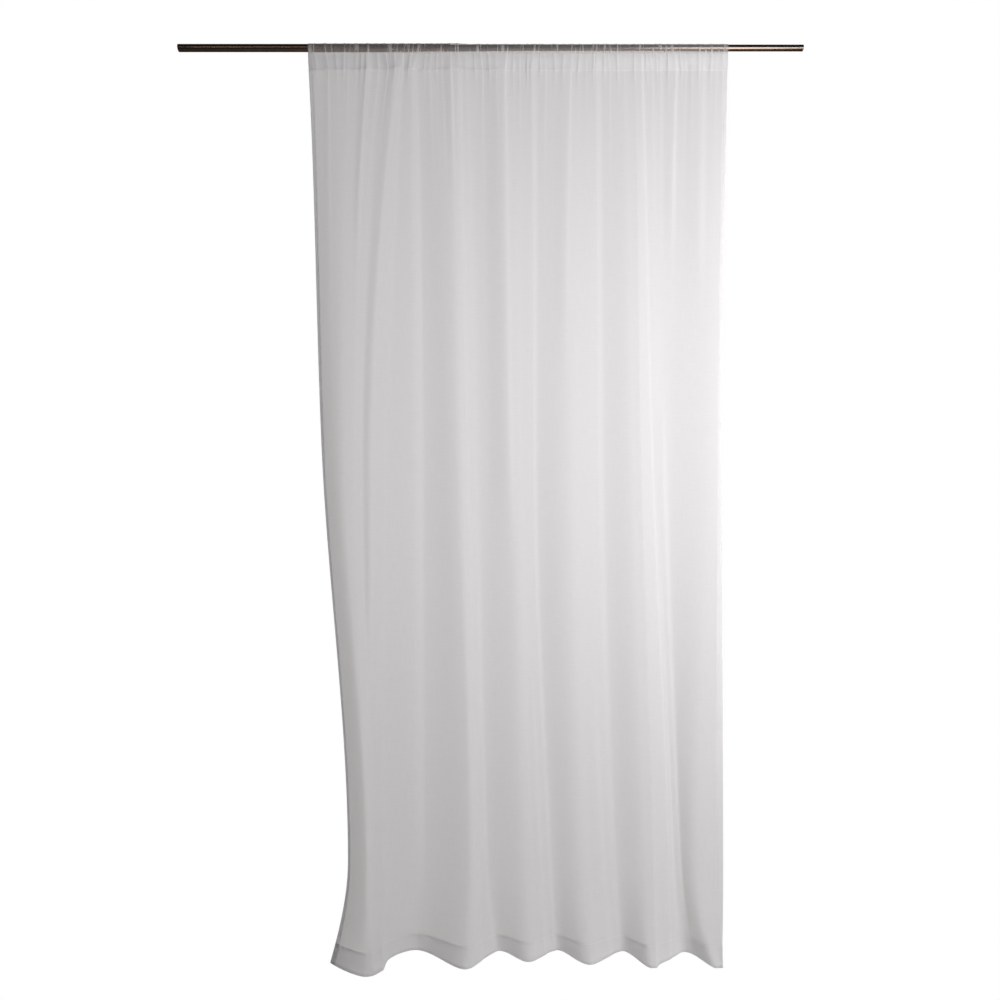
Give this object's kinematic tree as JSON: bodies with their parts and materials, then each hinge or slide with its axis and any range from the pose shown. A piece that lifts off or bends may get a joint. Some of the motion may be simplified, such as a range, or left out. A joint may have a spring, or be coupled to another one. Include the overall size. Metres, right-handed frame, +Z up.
{
  "type": "sheer voile curtain on a telescopic curtain rod",
  "caption": "Sheer white voile panel gathered by its stitched rod pocket on a bare telescopic metal rod, falling in uneven soft folds to a wavy hem.",
  "frame": {"origin": "on the rod's axis, in the middle of the rod's length", "axes": "+X along the rod to the right as seen from the room, +Y away from the viewer towards the window, +Z up"},
  "size_m": [1.674, 0.1162, 2.4544],
  "materials": {
    "white_voile": "sheer plain-weave voile, matt, semi-transparent",
    "dark_chromed_steel": "polished, with a fine drawn grain along the tube",
    "warm_chromed_steel": "polished, with a fine drawn grain along the tube"
  },
  "bodies": {
    "root": {"voile_panel": "white_voile", "rod_outer_tube": "dark_chromed_steel", "rod_inner_tube": "warm_chromed_steel"}
  },
  "joints": []
}
